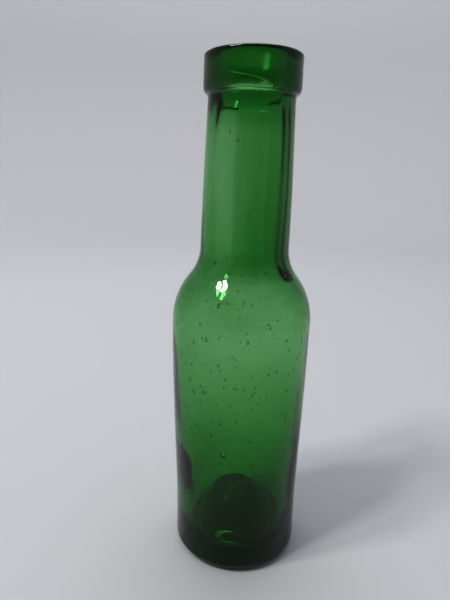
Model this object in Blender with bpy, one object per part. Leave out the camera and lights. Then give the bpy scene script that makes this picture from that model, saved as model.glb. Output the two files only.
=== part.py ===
"""Hand-blown green glass bottle with an applied collar: metres, +Z up.

The frame's origin is the centre of the bearing ring, on the plane the bottle
stands on. Two pieces of glass make the bottle: the blown body, whose neck ends
at a slanted crack-off, and the collar of a second gather laid round that end.
"""

import math

import bmesh
import bpy

# ---------------------------------------------------------------- dimensions
HEIGHT = 0.180            # bearing plane to lip
SEGMENTS = 48             # facets round every turned surface
GLASS_GAP = 0.0003        # clearance kept between the two pieces of glass

# outside of the body
BASE_RADIUS = 0.02372     # just above the heel
SHOULDER_RADIUS = 0.02530 # the widest part, under the shoulder
HEEL_INSET = 0.0045       # from the wall in to the bearing ring
HEEL_HEIGHT = 0.0036
SWELL_START = 0.012       # height where the wall starts to widen
SWELL_END = 0.086
SHOULDER_Z = 0.0915       # where the shoulder leaves the wall
SHOULDER_ARC = 0.0260     # radius of the shoulder's convex arc
NECK_ROOT_ARC = 0.0162    # radius of the concave arc into the neck
SHOULDER_SLOPE = math.radians(39.0)  # where the two arcs meet, off the axis

# neck
NECK_TOP_RADIUS = 0.01462 # where it enters the collar
NECK_TAPER_POWER = 1.5    # the taper is gentler at the neck's root
COLLAR_Z = 0.1679         # underside of the collar
CRACK_Z = 0.1715          # mean height of the cracked-off end
CRACK_TILT = math.radians(11.0)      # the end drops towards +X

# collar
COLLAR_RADIUS = 0.01630
COLLAR_LIP_RADIUS = 0.01620
COLLAR_ROUND_HEIGHT = 0.0030         # height of its rounded lower edge
LIP_ROUND = 0.0009        # outer edge of the lip
MOUTH_ROUND = 0.0029      # width of the lip's rounded inner edge
MOUTH_ROUND_HEIGHT = 0.0055

# inside
BORE_RADIUS = 0.0109      # straight seat for a cork, inside the collar
NECK_BORE = 0.0121        # wider below it, down to the neck's root
BORE_STEP_Z = 0.1560      # where the neck starts to close towards the seat
SHOULDER_WALL = 0.0019
BODY_WALL = 0.0024        # at the start of the thick foot
FOOT_WALL = 0.0046
FOOT_TOP_Z = 0.0460       # the wall thickens from here down
FOOT_LOW_Z = 0.0230
FLOOR_APEX = 0.0226       # top of the push-up, inside the bottle
FLOOR_REACH = 0.01950     # radius at which the push-up would meet z = 0
FLOOR_POWER = 2.5
FLOOR_EDGE = 0.0168       # radius where the push-up turns up into the wall
INNER_HEEL_Z = 0.0120

# underside of the push-up
PUSH_APEX = 0.0198
PUSH_RADIUS = 0.0173      # inner edge of the bearing ring
PUSH_POWER = 2.2

# lean of the neck towards +X
LEAN_START = 0.088
LEAN_SLOPE = math.tan(math.radians(0.95))
LEAN_BLEND = 0.0040       # softness of the start of the lean


# ------------------------------------------------------------------- helpers
def ramp(value):
    """0 below 0, 1 above 1, smooth in between."""
    t = min(max(value, 0.0), 1.0)
    return t * t * (3.0 - 2.0 * t)


def lean(z):
    """Sideways offset of the axis at height z."""
    reach = (z - LEAN_START) / LEAN_BLEND
    soft = reach if reach > 30.0 else math.log1p(math.exp(reach))
    return LEAN_SLOPE * LEAN_BLEND * soft


def crack_offset(x):
    """Height of the slanted crack-off above its mean, at x from the axis."""
    return -math.tan(CRACK_TILT) * x


def shoulder_joint():
    """(radius, height) where the shoulder's two arcs meet."""
    return (SHOULDER_RADIUS - SHOULDER_ARC * (1.0 - math.cos(SHOULDER_SLOPE)),
            SHOULDER_Z + SHOULDER_ARC * math.sin(SHOULDER_SLOPE))


def neck_root():
    """(radius, height) where the concave arc becomes the neck."""
    radius, height = shoulder_joint()
    return (radius - NECK_ROOT_ARC * (1.0 - math.cos(SHOULDER_SLOPE)),
            height + NECK_ROOT_ARC * math.sin(SHOULDER_SLOPE))


def neck_radius(z):
    root_radius, root_z = neck_root()
    t = min(max((z - root_z) / (COLLAR_Z - root_z), 0.0), 1.0)
    return root_radius - (root_radius - NECK_TOP_RADIUS) * t ** NECK_TAPER_POWER


def wall_radius(z):
    """Outside of the body between the heel and the shoulder."""
    swell = ramp((z - SWELL_START) / (SWELL_END - SWELL_START))
    return BASE_RADIUS + (SHOULDER_RADIUS - BASE_RADIUS) * swell


def wall_thickness(z):
    """Glass between the channel round the floor and the shoulder."""
    upper = SHOULDER_WALL + (BODY_WALL - SHOULDER_WALL) * ramp((SHOULDER_Z - z) / (SHOULDER_Z - FOOT_TOP_Z))
    return upper + (FOOT_WALL - BODY_WALL) * ramp((FOOT_TOP_Z - z) / (FOOT_TOP_Z - FOOT_LOW_Z))


def floor_height(radius):
    return FLOOR_APEX * (1.0 - (radius / FLOOR_REACH) ** FLOOR_POWER)


def push_height(radius):
    return PUSH_APEX * (1.0 - (radius / PUSH_RADIUS) ** PUSH_POWER)


def shoulder_points(wall_in, neck_in):
    """Shoulder from the wall to the neck's root, set in by a wall thickness.

    The thickness goes from wall_in at the widest part to neck_in at the root
    and is measured square to the outer surface.
    """
    points = []
    total = 2.0 * SHOULDER_SLOPE
    steps = 12
    joint_radius, joint_z = shoulder_joint()
    root_radius, root_z = neck_root()
    for index in range(steps + 1):
        turn = total * index / steps
        if turn <= SHOULDER_SLOPE:
            slope = turn
            radius = SHOULDER_RADIUS - SHOULDER_ARC * (1.0 - math.cos(slope))
            z = SHOULDER_Z + SHOULDER_ARC * math.sin(slope)
        else:
            slope = total - turn
            radius = root_radius + NECK_ROOT_ARC * (1.0 - math.cos(slope))
            z = root_z - NECK_ROOT_ARC * math.sin(slope)
        inset = wall_in + (neck_in - wall_in) * ramp(index / steps)
        points.append((radius - inset * math.cos(slope), z - inset * math.sin(slope)))
    return points


# ------------------------------------------------------------------ profiles
def bottle_profile():
    """Closed half-section, from the underside's pole to the floor's pole."""
    points = [(PUSH_RADIUS * math.sin(0.5 * math.pi * i / 8.0),
               push_height(PUSH_RADIUS * math.sin(0.5 * math.pi * i / 8.0)))
              for i in range(9)]
    bearing = BASE_RADIUS - HEEL_INSET
    for i in range(5):
        angle = 0.5 * math.pi * i / 4.0
        points.append((bearing + HEEL_INSET * math.sin(angle),
                       HEEL_HEIGHT * (1.0 - math.cos(angle))))
    for i in range(1, 9):
        z = HEEL_HEIGHT + (SHOULDER_Z - HEEL_HEIGHT) * i / 9.0
        points.append((wall_radius(z), z))
    points += shoulder_points(0.0, 0.0)
    root_z = neck_root()[1]
    for i in range(1, 6):
        z = root_z + (COLLAR_Z - root_z) * i / 5.0
        points.append((neck_radius(z), z))
    points.append((NECK_TOP_RADIUS, CRACK_Z))
    points.append((BORE_RADIUS, CRACK_Z))
    inner_root = neck_root()[0] - NECK_BORE
    inside = shoulder_points(SHOULDER_WALL, inner_root)
    for i in range(5):
        z = COLLAR_Z + (BORE_STEP_Z - COLLAR_Z) * i / 4.0
        points.append((BORE_RADIUS + (NECK_BORE - BORE_RADIUS) * ramp(i / 4.0), z))
    points.append((NECK_BORE, 0.5 * (BORE_STEP_Z + inside[-1][1])))
    points += reversed(inside)
    heights = [SHOULDER_Z + (FOOT_TOP_Z - SHOULDER_Z) * i / 4.0 for i in range(1, 5)]
    heights += [FOOT_TOP_Z + (FOOT_LOW_Z - FOOT_TOP_Z) * i / 5.0 for i in range(1, 6)]
    heights.append(0.5 * (FOOT_LOW_Z + INNER_HEEL_Z))
    points += [(wall_radius(z) - wall_thickness(z), z) for z in heights]
    wall = wall_radius(INNER_HEEL_Z) - FOOT_WALL
    edge_z = floor_height(FLOOR_EDGE)
    for i in range(5):
        angle = 0.5 * math.pi * i / 4.0
        points.append((FLOOR_EDGE + (wall - FLOOR_EDGE) * math.cos(angle),
                       INNER_HEEL_Z - (INNER_HEEL_Z - edge_z) * math.sin(angle)))
    for i in range(1, 8):
        radius = FLOOR_EDGE * math.cos(0.5 * math.pi * i / 7.0)
        points.append((radius, floor_height(radius)))
    return points


def collar_profile():
    """Closed half-section of the collar, as a loop round its section."""
    seat = NECK_TOP_RADIUS + GLASS_GAP
    points = []
    for i in range(6):
        angle = 0.5 * math.pi * i / 5.0
        points.append((seat + (COLLAR_RADIUS - seat) * math.sin(angle),
                       COLLAR_Z + COLLAR_ROUND_HEIGHT * (1.0 - math.cos(angle))))
    lip_start = HEIGHT - LIP_ROUND
    middle = 0.5 * (COLLAR_Z + COLLAR_ROUND_HEIGHT + lip_start)
    points.append((0.5 * (COLLAR_RADIUS + COLLAR_LIP_RADIUS), middle))
    for i in range(5):
        angle = 0.5 * math.pi * i / 4.0
        points.append((COLLAR_LIP_RADIUS - LIP_ROUND * (1.0 - math.cos(angle)),
                       lip_start + LIP_ROUND * math.sin(angle)))
    for i in range(7):
        angle = 0.5 * math.pi * i / 6.0
        points.append((BORE_RADIUS + MOUTH_ROUND * (1.0 - math.sin(angle)),
                       HEIGHT - MOUTH_ROUND_HEIGHT * (1.0 - math.cos(angle))))
    points.append((BORE_RADIUS, CRACK_Z + GLASS_GAP / math.cos(CRACK_TILT)))
    points.append((seat, CRACK_Z + GLASS_GAP / math.cos(CRACK_TILT)))
    return points


# -------------------------------------------------------------------- meshes
def turned(name, profile, closed, slanted, material):
    """Turn a half-section about the axis, slant its crack-off and lean it."""
    mesh = bpy.data.meshes.new(name)
    bm = bmesh.new()
    verts = [bm.verts.new((radius, 0.0, z)) for radius, z in profile]
    edges = [bm.edges.new(pair) for pair in zip(verts, verts[1:])]
    if closed:
        edges.append(bm.edges.new((verts[-1], verts[0])))
    bmesh.ops.spin(bm, geom=verts + edges, cent=(0.0, 0.0, 0.0), axis=(0.0, 0.0, 1.0),
                   angle=2.0 * math.pi, steps=SEGMENTS, use_merge=True)
    bmesh.ops.remove_doubles(bm, verts=bm.verts, dist=0.00001)
    for vert in bm.verts:
        if abs(vert.co.z - slanted) < 0.00001:
            vert.co.z += crack_offset(vert.co.x)
    for vert in bm.verts:
        vert.co.x += lean(vert.co.z)
    bmesh.ops.recalc_face_normals(bm, faces=bm.faces)
    bm.to_mesh(mesh)
    bm.free()
    piece = bpy.data.objects.new(name, mesh)
    bpy.context.collection.objects.link(piece)
    mesh.materials.append(material)
    mesh.shade_smooth()
    mesh.set_sharp_from_angle(angle=math.radians(40.0))
    return piece


def glass(name, colour, roughness):
    material = bpy.data.materials.new(name)
    material.use_nodes = True
    shader = material.node_tree.nodes["Principled BSDF"]
    shader.inputs["Base Color"].default_value = (*colour, 1.0)
    shader.inputs["Roughness"].default_value = roughness
    shader.inputs["Metallic"].default_value = 0.0
    shader.inputs["IOR"].default_value = 1.52
    shader.inputs["Transmission Weight"].default_value = 1.0
    material.diffuse_color = (*colour, 1.0)
    return material


def build():
    for old in list(bpy.data.objects):
        bpy.data.objects.remove(old, do_unlink=True)
    bottle_glass = glass("bottle_green_glass", (0.16, 0.52, 0.17), 0.04)
    collar_glass = glass("collar_green_glass", (0.04, 0.20, 0.05), 0.05)
    turned("blown_bottle", bottle_profile(), False, CRACK_Z, bottle_glass)
    turned("applied_collar", collar_profile(), True,
           CRACK_Z + GLASS_GAP / math.cos(CRACK_TILT), collar_glass)


build()
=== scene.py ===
# Looks of the hand-blown green glass bottle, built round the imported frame: metres, +Z up.
import math

import bmesh
import bpy
import numpy as np
from mathutils import Matrix, Vector


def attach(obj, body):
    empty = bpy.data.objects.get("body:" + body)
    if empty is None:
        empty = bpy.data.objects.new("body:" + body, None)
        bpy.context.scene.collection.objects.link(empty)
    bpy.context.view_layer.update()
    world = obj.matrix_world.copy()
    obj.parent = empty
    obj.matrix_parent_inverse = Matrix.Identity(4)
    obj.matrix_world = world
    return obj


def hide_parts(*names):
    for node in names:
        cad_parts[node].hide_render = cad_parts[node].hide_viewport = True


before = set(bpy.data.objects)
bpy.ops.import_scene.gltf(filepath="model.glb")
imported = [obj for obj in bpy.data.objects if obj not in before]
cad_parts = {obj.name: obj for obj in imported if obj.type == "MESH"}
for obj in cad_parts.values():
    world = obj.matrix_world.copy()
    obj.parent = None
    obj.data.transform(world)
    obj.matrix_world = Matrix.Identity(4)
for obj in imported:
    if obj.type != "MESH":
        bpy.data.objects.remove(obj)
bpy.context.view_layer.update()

MM = 0.001

# ------------------------------------------------------------------ dimensions (mm)
HEIGHT = 180.0
TURN = 160                       # columns round the axis
BASE_R, WIDE_R = 23.70, 25.24    # just inside the CAD's walls
HEEL_IN, HEEL_H = 4.6, 3.7
SHOULDER_Z, SHOULDER_ARC, ROOT_ARC = 91.5, 26.0, 16.2
SLOPE = math.radians(39.0)
NECK_TOP_R, COLLAR_Z = 14.60, 167.9
COLLAR_R, LIP_R = 16.26, 16.17
BORE_R = 10.9                    # inside the collar
LIP_DEEP, LIP_WIDE = 5.5, 2.9    # the mouth's rounded inner edge
PUSH_R, PUSH_APEX = 17.4, 19.8
LAP_Z, LAP_TILT = 171.8, math.tan(math.radians(13.0))   # end of the neck, seen in the bore
RNG = np.random.default_rng(7)


def ramp(v):
    t = np.clip(v, 0.0, 1.0)
    return t * t * (3.0 - 2.0 * t)


def lean(z):
    reach = np.clip((z - 88.0) / 4.0, -40.0, 40.0)
    return math.tan(math.radians(0.95)) * 4.0 * np.log1p(np.exp(reach))


JOINT = (WIDE_R - SHOULDER_ARC * (1 - math.cos(SLOPE)), SHOULDER_Z + SHOULDER_ARC * math.sin(SLOPE))
ROOT = (JOINT[0] - ROOT_ARC * (1 - math.cos(SLOPE)), JOINT[1] + ROOT_ARC * math.sin(SLOPE))


def outer_radius(z):
    """Outside radius from the heel's top to the collar, without ripples."""
    wall = BASE_R + (WIDE_R - BASE_R) * ramp((z - 12.0) / 74.0)
    convex = WIDE_R - SHOULDER_ARC + np.sqrt(np.maximum(SHOULDER_ARC ** 2 - np.maximum(z - SHOULDER_Z, 0.0) ** 2, 0.0))
    concave = ROOT[0] + ROOT_ARC - np.sqrt(np.maximum(ROOT_ARC ** 2 - np.minimum(z - ROOT[1], 0.0) ** 2, 0.0))
    t = np.clip((z - ROOT[1]) / (COLLAR_Z - ROOT[1]), 0.0, 1.0)
    neck = ROOT[0] - (ROOT[0] - NECK_TOP_R) * t ** 1.5
    return np.where(z < SHOULDER_Z, wall, np.where(z < JOINT[1], convex, np.where(z < ROOT[1], concave, neck)))


def wall_thickness(z):
    """Mean thickness of the glass at height z, thin under the shoulder and thick at the foot."""
    heights = np.array([6.0, 18.0, 27.0, 35.0, 42.0, 50.0, 63.0, 78.0, 92.0, 100.0, 107.0, 114.0, 122.0, 138.0, 168.0])
    walls = np.array([4.75, 4.65, 4.35, 3.75, 3.2, 2.8, 2.35, 2.05, 1.85, 2.2, 3.1, 3.6, 3.2, 2.8, 2.7])
    slopes = np.gradient(walls, heights)
    i = np.clip(np.searchsorted(heights, z) - 1, 0, len(heights) - 2)
    h = heights[i + 1] - heights[i]
    t = np.clip((z - heights[i]) / h, 0.0, 1.0)
    a, b = walls[i], walls[i + 1]
    da, db = slopes[i] * h, slopes[i + 1] * h
    return ((2 * t ** 3 - 3 * t ** 2 + 1) * a + (t ** 3 - 2 * t ** 2 + t) * da
            + (3 * t ** 2 - 2 * t ** 3) * b + (t ** 3 - t ** 2) * db)


def inner_radius(z):
    """Inside radius between the floor's channel and the mouth's rounding."""
    low = outer_radius(np.minimum(z, 160.0)) - wall_thickness(np.minimum(z, 160.0))
    close = ramp((z - 156.0) / 13.0)
    return low * (1 - close) + BORE_R * close


def waves(theta, z, count, turns, rise, seed):
    """Smooth ripple between about -1 and 1: count sines, up to turns round the axis and rise cycles a millimetre."""
    rng = np.random.default_rng(seed)
    total = np.zeros(np.broadcast(theta, z).shape)
    weight = 0.0
    for _ in range(count):
        k = int(rng.integers(0, turns + 1))
        f = rng.uniform(-rise, rise)
        a = 1.0 / (1.0 + 0.35 * k)
        total += a * np.sin(k * theta + 2 * math.pi * (f * z + rng.random()))
        weight += a * a
    return total / math.sqrt(weight)


# ------------------------------------------------------------------ half-section
def section():
    """Rows of the glass's half-section from the underside's pole round to the floor's pole.

    Each row is (radius, height, kind): kind names the stretch of surface (push, ring, heel, outer, collar, lip, mouth,
    bore, inner, floor), which sets where the ripples apply.
    """
    rows = []
    for i in range(34):
        r = PUSH_R * math.sin(0.5 * math.pi * i / 33)
        rows.append((r, PUSH_APEX * (1 - (r / PUSH_R) ** 2.2), "push"))
    ring = BASE_R - HEEL_IN
    for i in range(1, 5):
        t = i / 5
        rows.append((PUSH_R + (ring - PUSH_R) * t, 0.0, "ring"))
    for i in range(14):
        a = 0.5 * math.pi * i / 13
        rows.append((ring + HEEL_IN * math.sin(a), HEEL_H * (1 - math.cos(a)), "heel"))
    z = HEEL_H
    for i in range(1, 84):
        z = HEEL_H + (SHOULDER_Z - HEEL_H) * i / 84
        rows.append((float(outer_radius(z)), z, "outer"))
    for i in range(42):
        z = SHOULDER_Z + (ROOT[1] - SHOULDER_Z) * i / 42
        rows.append((float(outer_radius(z)), z, "outer"))
    for i in range(58):
        z = ROOT[1] + (COLLAR_Z - ROOT[1]) * i / 58
        rows.append((float(outer_radius(z)), z, "outer"))
    for i in range(17):
        t = 1 - math.cos(0.5 * math.pi * i / 16)
        rows.append((NECK_TOP_R + (COLLAR_R - NECK_TOP_R) * (1 - (1 - t) ** 2.3) ** (1 / 2.3), COLLAR_Z + 3.0 * t, "collar"))
    top = HEIGHT - 0.9
    for i in range(1, 14):
        t = i / 14
        rows.append((COLLAR_R + (LIP_R - COLLAR_R) * t, COLLAR_Z + 3.0 + (top - COLLAR_Z - 3.0) * t, "collar"))
    for i in range(11):
        a = 0.5 * math.pi * i / 10
        rows.append((LIP_R - 0.9 * (1 - math.cos(a)), top + 0.9 * math.sin(a), "lip"))
    for i in range(15):
        a = 0.5 * math.pi * i / 14
        rows.append((BORE_R + LIP_WIDE * (1 - math.sin(a)), HEIGHT - LIP_DEEP * (1 - math.cos(a)), "mouth"))
    bore = [174.0, 173.3, 172.7, 172.35, 172.1, 171.98, 171.89, 171.8, 171.71, 171.62, 171.5, 171.25, 170.9, 170.4, 169.8, 169.1, 168.4]
    rows += [(float(inner_radius(z)), z, "bore") for z in bore]
    for i in range(1, 42):
        z = 168.0 + (ROOT[1] - 168.0) * i / 41
        rows.append((float(inner_radius(z)), z, "inner"))
    for i in range(1, 33):
        z = ROOT[1] + (SHOULDER_Z - ROOT[1]) * i / 32
        rows.append((float(inner_radius(z)), z, "inner"))
    for i in range(1, 66):
        z = SHOULDER_Z + (13.0 - SHOULDER_Z) * i / 65
        rows.append((float(inner_radius(z)), z, "inner"))
    # the channel between wall and push-up, a rounded valley
    wall, edge = rows[-1][0], 16.8
    edge_z = floor_bell(edge)
    first = len(rows) - 8
    for i in range(1, 15):
        a = 0.5 * math.pi * i / 14
        rows.append((edge + (wall - edge) * math.cos(a), 13.0 - (13.0 - edge_z) * math.sin(a), "floor"))
    for i in range(1, 38):
        r = edge * math.cos(0.5 * math.pi * i / 37)
        rows.append((r, float(floor_bell(r)), "floor"))
    last = first + 34
    for _ in range(26):
        new = [(0.25 * rows[i - 1][0] + 0.5 * rows[i][0] + 0.25 * rows[i + 1][0],
                0.25 * rows[i - 1][1] + 0.5 * rows[i][1] + 0.25 * rows[i + 1][1], rows[i][2]) for i in range(first, last)]
        rows[first:last] = new
    return rows


def floor_bell(r):
    return 22.6 * (1 - (r / 19.5) ** 2.5)


def vessel_points():
    rows = section()
    r = np.array([row[0] for row in rows])[:, None]
    z = np.array([row[1] for row in rows])[:, None]
    kinds = np.array([row[2] for row in rows])[:, None]
    theta = (2 * math.pi * np.arange(TURN) / TURN)[None, :]
    # square to the section, pointing out of the glass
    dr = np.gradient(r[:, 0]); dz = np.gradient(z[:, 0])
    size = np.hypot(dr, dz); size[size == 0] = 1
    nr, nz = (dz / size)[:, None], (-dr / size)[:, None]
    body = waves(theta, z, 26, 5, 0.020, 11)
    fine = waves(theta, z, 40, 16, 0.060, 12)
    streak = waves(theta, z, 30, 26, 0.004, 13)
    inside = waves(theta, z, 26, 5, 0.022, 14)
    inside_fine = waves(theta, z, 40, 15, 0.050, 15)
    neck = ramp((z - 104.0) / 14.0)
    near_rows = ramp((z - HEEL_H) / 6.0)
    outer = (kinds == "outer") * (0.05 * (body - 1.6) + 0.016 * fine + neck * 0.03 * (streak - 1.5) + neck * 0.012 * (waves(theta, z, 30, 44, 0.002, 19) - 1.5))
    outer = outer * near_rows * ramp((COLLAR_Z - z) / 3.0 + 0.15)
    collar = (kinds == "collar") * 0.03 * (waves(theta, z, 16, 6, 0.05, 16) - 1.4)
    draw = waves(theta, z, 34, 20, 0.003, 17)
    swirl = waves(theta + 0.05 * (z - 60.0), z, 24, 18, 0.002, 18)
    inner = (0.10 + 0.10 * ramp(np.abs(z - 100.0) / 30.0)) * inside + 0.03 * inside_fine
    inner = inner + neck * (0.26 * draw + 0.16 * np.maximum(np.cos(theta + 0.55), 0) * streak)
    inner = inner + neck * 0.022 * waves(theta, z, 40, 42, 0.004, 20)
    inner = inner + (1 - neck) * 0.035 * swirl * ramp((z - 60.0) / 30.0)
    # thicker glass on the +X side of the neck, and a lopsided thickening towards the foot
    thick = neck * 0.85 * np.cos(theta + 0.15) + 0.12 * neck * np.cos(2 * theta + 1.0)
    foot = ramp((46.0 - z) / 9.0) * (0.18 * np.cos(theta - math.pi) + 0.1 * np.cos(2 * theta)) * ramp((z - 12.0) / 10.0)
    inner = (kinds == "inner") * (inner + thick + foot)
    inner = inner * ramp((COLLAR_Z - z) / 8.0 + 0.1) * ramp((z - 12.0) / 8.0)
    # the fold where the collar's gather meets the neck: tight in front, filled behind but for one lap
    back = np.clip(0.5 + 0.5 * np.sin(theta), 0, 1) ** 0.8 * (1 - np.exp(-((theta - 2.25) / 0.26) ** 2))
    outside = (kinds == "outer") | (kinds == "collar")
    cone = NECK_TOP_R + (COLLAR_R - NECK_TOP_R) * ramp((z - 164.6) / 6.4)
    fillet = outside * back * ramp((np.sin(theta) - 0.1) / 0.5) * np.maximum(cone - r, 0) * ramp((z - 160.0) / 4.0)
    # shallow draw mark on the collar and the lap line in the bore
    turn = (theta + 2 * math.pi) % (2 * math.pi) - math.pi * 1.5
    groove = (kinds == "collar") * -0.05 * np.exp(-((turn - 0.27) / 0.035) ** 2) * ramp((z - 172.5) / 3.0)
    seen = ramp((turn + 0.75) / 0.25) * ramp((1.15 - turn) / 0.2)
    lap = (kinds == "bore") * 0.17 * seen * np.exp(-((z - LAP_Z) / 0.13) ** 2)
    move = outer + collar + inner + groove + lap
    rr = r + nr * move + fillet
    zz = z + nz * move
    x = rr * np.cos(theta)
    y = rr * np.sin(theta)
    zz = np.broadcast_to(zz, x.shape).copy()
    shear = np.where(z > LAP_Z, ramp((174.5 - z) / 2.5), ramp((z - 168.4) / 3.6)) * (kinds == "bore")
    zz = zz - shear * LAP_TILT * np.clip(x, -7.0, 10.5)
    # the push-up's top is lumpy, inside and a little underneath
    for kind, lift in (("floor", 1.0), ("push", 0.97)):
        on = np.broadcast_to(kinds == kind, x.shape)
        hump = 1.3 * np.exp(-(((x - 2.6) / 3.4) ** 2 + ((y - 2.0) / 4.6) ** 2) ** 1.3)
        lump = 0.6 * np.exp(-(((x + 6.5) / 5.0) ** 2 + ((y - 1.0) / 6.0) ** 2))
        zz = zz + on * lift * (hump + lump)
    x = x + lean(zz)
    return np.stack([x, y, zz], -1) * MM, rows


def seed_bubbles():
    """Small bubbles in the glass: (theta, height, radius from the axis, half-sizes in mm, tilt)."""
    rng = np.random.default_rng(21)
    made = []
    for _ in range(290):
        z = rng.uniform(52.0, 160.0) if rng.random() < 0.3 else rng.uniform(44.0, 104.0)
        theta = rng.uniform(0, 2 * math.pi)
        wall = float(wall_thickness(np.array(z)))
        size = 0.20 + 0.24 * rng.random() ** 1.8
        radius = float(outer_radius(np.array(z))) - rng.uniform(0.38, 0.55) * wall
        made.append((theta, z, radius, (0.85 * size, size, size * (1.0 + 1.4 * rng.random() ** 2)), rng.uniform(-0.4, 0.4)))
    made.append((math.radians(-101.5), 48.6, 22.85, (0.55, 0.85, 1.15), 0.1))      # the largest, low in front
    made.append((math.radians(-68.0), 173.9, 14.4, (0.3, 0.32, 0.3), 0.0))         # in the collar
    made.append((math.radians(-88.0), 169.3, 15.0, (0.25, 0.32, 0.45), 0.3))       # over the fold
    return made


def swirl_face(x, z):
    """Way the flat voids face at x and z (mm): up and forwards, turning a little to the left."""
    turn, rise = math.radians(-103.5 + 1.50 * x), math.radians(45.0 + 1.6 * max(10.0 - z, 0.0))
    return Vector((math.cos(turn) * math.cos(rise), math.sin(turn) * math.cos(rise), math.sin(rise)))


def swirl_path():
    """Flat ring-shaped twist of trapped air in the push-up's front: (x, height, half-width) along its line, in mm."""
    knots = [(5.2, 7.9, 0.25), (2.0, 7.55, 0.50), (-1.2, 7.6, 0.60), (-4.3, 8.2, 0.75), (-5.9, 9.2, 0.95), (-4.7, 10.2, 0.65),
             (-1.9, 11.1, 0.32), (1.0, 10.4, 0.26), (2.7, 9.3, 0.30), (1.9, 8.4, 0.15)]
    path = []
    for i in range(len(knots) - 1):
        a, b, c, d = (np.array(knots[min(max(i + k, 0), len(knots) - 1)]) for k in (-1, 0, 1, 2))
        for t in np.linspace(0, 1, 6, endpoint=False):
            path.append(0.5 * (2 * b + (c - a) * t + (2 * a - 5 * b + 4 * c - d) * t ** 2 + (3 * b - a - 3 * c + d) * t ** 3))
    path.append(np.array(knots[-1]))
    out = []
    for x, z, half in path:
        x, z, half = float(x), float(z), float(half)
        y = -math.sqrt(15.9 ** 2 - x * x) + 0.46 * (z - 7.0)
        out.append((Vector((x, y, z)), max(half, 0.15)))
    return out


def swirl_flakes():
    """Thin flat voids strung along the twist: (centre, turn, half-sizes) in mm, all facing much the same way."""
    rng = np.random.default_rng(33)
    path = swirl_path()
    flakes = []
    for i, (p, half) in enumerate(path):
        ahead = path[min(i + 1, len(path) - 1)][0] - path[max(i - 1, 0)][0]
        face = swirl_face(p.x, p.z)
        along = (ahead - face * ahead.dot(face)).normalized()
        for layer in range(2):
            tilted = (face + Vector([float(v) for v in rng.uniform(-0.02, 0.02, 3)])).normalized()
            along = (along - tilted * along.dot(tilted)).normalized()
            turn = Matrix((along, tilted.cross(along), tilted)).transposed()
            shift = along * float(rng.uniform(-0.15, 0.15)) - face * (0.30 * layer)
            size = float(rng.uniform(0.8, 1.15))
            flakes.append((p + shift, turn, (0.62 * size, 1.1 * half * size, 0.022)))
    return flakes


def build_vessel(name):
    points, rows = vessel_points()
    n_rows = len(rows)
    verts = [tuple(points[0].mean(0))]
    for i in range(1, n_rows - 1):
        verts += [tuple(p) for p in points[i]]
    verts.append(tuple(points[-1].mean(0)))
    faces = []
    first = lambda i: 1 + (i - 1) * TURN
    for j in range(TURN):
        k = (j + 1) % TURN
        faces.append((0, first(1) + k, first(1) + j))
        faces.append((first(n_rows - 2) + j, first(n_rows - 2) + k, len(verts) - 1))
    for i in range(1, n_rows - 2):
        a, b = first(i), first(i + 1)
        for j in range(TURN):
            k = (j + 1) % TURN
            faces.append((a + j, a + k, b + k, b + j))
    bubble = bmesh.new()
    bmesh.ops.create_icosphere(bubble, subdivisions=2, radius=1.0)
    ball = [v.co.copy() for v in bubble.verts]
    ball_faces = [tuple(v.index for v in f.verts) for f in bubble.faces]
    bubble.free()
    for theta, z, radius, half, tilt in seed_bubbles():
        turn = Matrix.Rotation(theta, 3, "Z") @ Matrix.Rotation(tilt, 3, "X")
        centre = Vector((radius * math.cos(theta) + float(lean(np.array(z))), radius * math.sin(theta), z))
        start = len(verts)
        for co in ball:
            p = turn @ Vector((co.x * half[0], co.y * half[1], co.z * half[2])) + centre
            verts.append(tuple(p * MM))
        faces += [(start + c, start + b, start + a) for a, b, c in ball_faces]
    for centre, turn, half in swirl_flakes():
        start = len(verts)
        for co in ball:
            verts.append(tuple((turn @ Vector((co.x * half[0], co.y * half[1], co.z * half[2])) + centre) * MM))
        faces += [(start + c, start + b, start + a) for a, b, c in ball_faces]
    mesh = bpy.data.meshes.new(name)
    mesh.from_pydata(verts, [], faces)
    mesh.update()
    mesh.shade_smooth()
    dull = mesh.attributes.new("dull", "FLOAT", "POINT")
    amount = {"push": 0.38, "mouth": 0.22, "bore": 0.14}
    for i in range(n_rows - 1):
        value = amount.get(rows[i][2], 0.0)
        if rows[i][2] == "inner":
            value = 0.12 * float(ramp(np.array((rows[i][1] - 152.0) / 6.0)))
        if rows[i][2] == "floor":
            value = 0.20 * float(ramp(np.array((13.5 - rows[i][0]) / 2.0)))
        for j in range(1 if i == 0 else TURN):
            dull.data[0 if i == 0 else first(i) + j].value = value
    piece = bpy.data.objects.new(name, mesh)
    bpy.context.scene.collection.objects.link(piece)
    return piece


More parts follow.
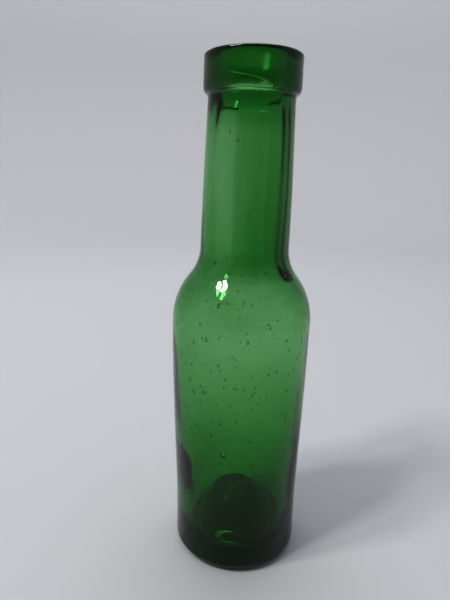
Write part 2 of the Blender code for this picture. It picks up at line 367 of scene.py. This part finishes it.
# ------------------------------------------------------------------ materials
def glass_material(name):
    mat = bpy.data.materials.new(name)
    mat.use_nodes = True
    nt = mat.node_tree
    bsdf = nt.nodes["Principled BSDF"]
    out = nt.nodes["Material Output"]
    bsdf.inputs["Base Color"].default_value = (1.0, 1.0, 1.0, 1)
    bsdf.inputs["Transmission Weight"].default_value = 1.0
    bsdf.inputs["IOR"].default_value = 1.52
    bsdf.inputs["Roughness"].default_value = 0.0
    coords = nt.nodes.new("ShaderNodeTexCoord")
    smear = nt.nodes.new("ShaderNodeTexNoise")
    smear.inputs["Scale"].default_value = 60.0
    smear.inputs["Detail"].default_value = 4.0
    nt.links.new(coords.outputs["Object"], smear.inputs["Vector"])
    rough = nt.nodes.new("ShaderNodeMapRange")
    rough.inputs["From Min"].default_value = 0.45
    rough.inputs["From Max"].default_value = 0.8
    rough.inputs["To Min"].default_value = 0.0
    rough.inputs["To Max"].default_value = 0.05
    nt.links.new(smear.outputs["Fac"], rough.inputs["Value"])
    # the bore and the push-up's underside were shaped by iron tools: duller than the rest
    dull = nt.nodes.new("ShaderNodeAttribute")
    dull.attribute_name = "dull"
    both = nt.nodes.new("ShaderNodeMath")
    both.operation = "ADD"
    nt.links.new(rough.outputs["Result"], both.inputs[0])
    nt.links.new(dull.outputs["Fac"], both.inputs[1])
    nt.links.new(both.outputs["Value"], bsdf.inputs["Roughness"])
    absorb = nt.nodes.new("ShaderNodeVolumeAbsorption")
    sigma = (432.0, 174.0, 430.0)
    absorb.inputs["Density"].default_value = 500.0
    absorb.inputs["Color"].default_value = tuple(1 - s / 500.0 for s in sigma) + (1.0,)
    nt.links.new(absorb.outputs["Volume"], out.inputs["Volume"])
    return mat


def cloth_material(name, colour, front_shade_colour):
    """Matt pale cloth whose colour is painted darker towards the front of the room: painted shade standing in for the
    dim room in front.
    """
    mat = bpy.data.materials.new(name)
    mat.use_nodes = True
    nt = mat.node_tree
    bsdf = nt.nodes["Principled BSDF"]
    bsdf.inputs["Roughness"].default_value = 0.9
    coords = nt.nodes.new("ShaderNodeTexCoord")
    parts = nt.nodes.new("ShaderNodeSeparateXYZ")
    nt.links.new(coords.outputs["Object"], parts.inputs["Vector"])
    # painted shade: the cloth's colour is blended darker from y = -0.35 m to -1.2 m, towards the front of the room, in
    # place of the dim room there
    front_shade_ramp = nt.nodes.new("ShaderNodeMapRange")
    front_shade_ramp.interpolation_type = "SMOOTHSTEP"
    front_shade_ramp.inputs["From Min"].default_value = -0.35
    front_shade_ramp.inputs["From Max"].default_value = -1.20
    nt.links.new(parts.outputs["Y"], front_shade_ramp.inputs["Value"])
    mix = nt.nodes.new("ShaderNodeMix")
    mix.data_type = "RGBA"
    mix.inputs["A"].default_value = (*colour, 1)
    mix.inputs["B"].default_value = (*front_shade_colour, 1)
    nt.links.new(front_shade_ramp.outputs["Result"], mix.inputs["Factor"])
    nt.links.new(mix.outputs["Result"], bsdf.inputs["Base Color"])
    return mat


# ------------------------------------------------------------------ camera
def make_camera():
    reach, high = 0.9530 * HEIGHT * MM, 0.7950 * HEIGHT * MM
    pitch, yaw, roll = math.radians(14.68), math.radians(-2.01), math.radians(-1.34)
    forward = Vector((math.sin(yaw) * math.cos(pitch), math.cos(yaw) * math.cos(pitch), -math.sin(pitch)))
    right = Vector((math.cos(yaw), -math.sin(yaw), 0.0))
    down = forward.cross(right)
    right_2 = math.cos(roll) * right + math.sin(roll) * down
    down_2 = -math.sin(roll) * right + math.cos(roll) * down
    data = bpy.data.cameras.new("camera")
    data.sensor_width = 36.0
    data.lens = 485.0 * 36.0 / 600.0
    data.clip_start = 0.01
    data.clip_end = 50.0
    camera = bpy.data.objects.new("camera", data)
    bpy.context.scene.collection.objects.link(camera)
    turn = Matrix((right_2, -down_2, -forward)).transposed().to_4x4()
    camera.matrix_world = Matrix.Translation((0.0, -reach, high)) @ turn
    bpy.context.scene.camera = camera


# ------------------------------------------------------------------ stage and light
def area_light(name, place, target, size, power, colour=(1, 1, 1)):
    data = bpy.data.lights.new(name, "AREA")
    data.shape = "RECTANGLE"
    data.size, data.size_y = size
    data.energy = power
    data.color = colour
    light = bpy.data.objects.new(name, data)
    bpy.context.scene.collection.objects.link(light)
    light.location = place
    light.rotation_euler = (Vector(target) - Vector(place)).to_track_quat("-Z", "Y").to_euler()
    return light


def make_stage():
    """A round pale sweep: flat floor that curves up into a wall all round, open at the top."""
    mesh = bpy.data.meshes.new("sweep")
    flat, bend, wall = 0.85, 0.45, 1.25
    profile = [(0.0, 0.0), (0.2, 0.0), (0.45, 0.0), (flat, 0.0)]
    for i in range(1, 17):
        a = 0.5 * math.pi * i / 16
        profile.append((flat + bend * math.sin(a), bend * (1 - math.cos(a))))
    profile.append((flat + bend, wall))
    verts, faces, count = [(0.0, 0.0, 0.0)], [], 96
    for r, z in profile[1:]:
        for j in range(count):
            a = 2 * math.pi * j / count
            verts.append((r * math.cos(a), r * math.sin(a), z))
    for j in range(count):
        faces.append((0, 1 + j, 1 + (j + 1) % count))
    for i in range(len(profile) - 2):
        for j in range(count):
            k = (j + 1) % count
            p, q = 1 + i * count, 1 + (i + 1) * count
            faces.append((p + j, q + j, q + k, p + k))
    mesh.from_pydata(verts, [], faces)
    mesh.update()
    mesh.shade_smooth()
    sweep = bpy.data.objects.new("sweep", mesh)
    bpy.context.scene.collection.objects.link(sweep)
    # the second, darker colour is painted shade for the dim front of the room, not a colour of the cloth
    mesh.materials.append(cloth_material("pale_cloth_painted_front_shade", (0.60, 0.60, 0.61), (0.22, 0.22, 0.23)))
    world = bpy.data.worlds.new("room")
    bpy.context.scene.world = world
    world.use_nodes = True
    world.node_tree.nodes["Background"].inputs["Color"].default_value = (0.86, 0.92, 1.0, 1)
    world.node_tree.nodes["Background"].inputs["Strength"].default_value = 0.42
    away = Vector((-0.500, -0.300, 0.813)) * 1.5 + Vector((0, 0, 0.108))
    for i, across in enumerate((-0.11, 0.11)):
        side = Vector((-away.y, away.x, 0)).normalized()
        area_light("window_pane_%d" % i, away + side * across, (0, 0, 0.1), (0.15, 0.31), 4.0, (1.0, 0.99, 0.97))
    area_light("back_fill", (0.0, 0.42, 1.38), (0, 1.0, 0.25), (0.9, 0.5), 4.0)


vessel = build_vessel("glass_vessel")
vessel.data.materials.append(glass_material("seedy_green_glass"))
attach(vessel, "root")
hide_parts("blown_bottle", "applied_collar")
make_camera()
make_stage()
scene = bpy.context.scene
scene.view_settings.view_transform = "Standard"
scene.view_settings.look = "High Contrast"
scene.cycles.max_bounces = 24
scene.cycles.transmission_bounces = 24
scene.cycles.glossy_bounces = 12
